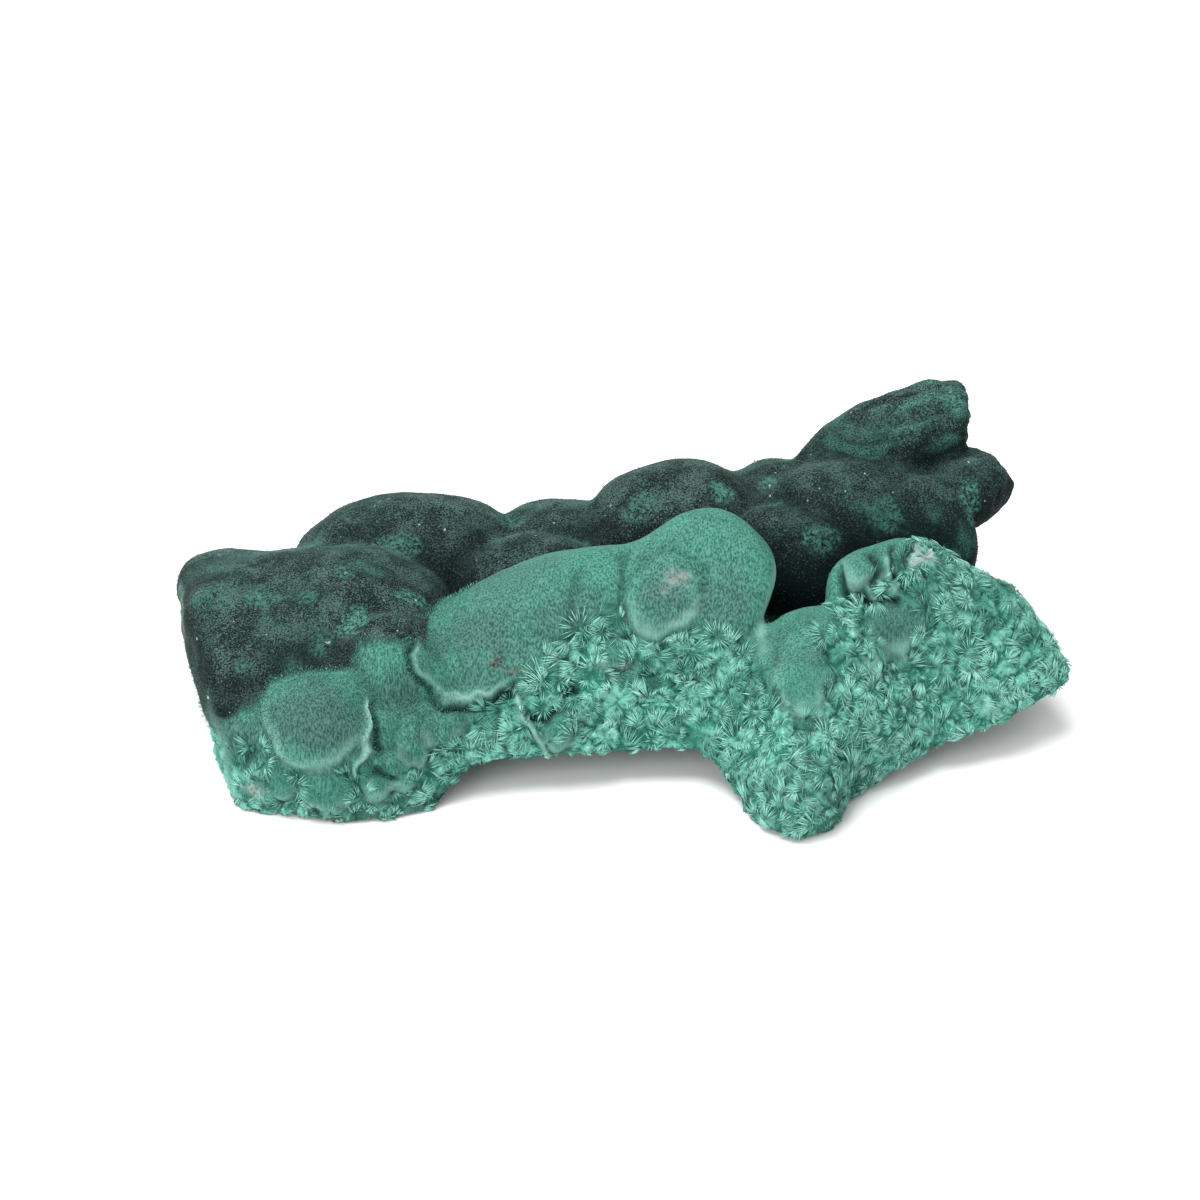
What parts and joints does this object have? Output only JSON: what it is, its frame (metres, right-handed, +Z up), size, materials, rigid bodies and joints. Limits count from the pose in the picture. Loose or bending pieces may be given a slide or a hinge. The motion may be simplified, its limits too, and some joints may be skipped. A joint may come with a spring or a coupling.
{
  "type": "malachite specimen",
  "caption": "Hand specimen of velvet malachite: dark rounded lobes behind a lighter fibrous broken front with an arched lower edge, resting on its flat underside.",
  "frame": {"origin": "middle of the footprint box, on the plane that the specimen rests on", "axes": "+X along the specimen from the broad left foot to the narrow right wing, +Y from the fibrous front to the dark lobes at the back, +Z up"},
  "size_m": [0.1138, 0.0626, 0.0344],
  "materials": {
    "malachite": "matt velvet of fine fibres on the lobes, silky radiating fibres on the broken front"
  },
  "bodies": {
    "root": {"malachite": "malachite"}
  },
  "joints": []
}
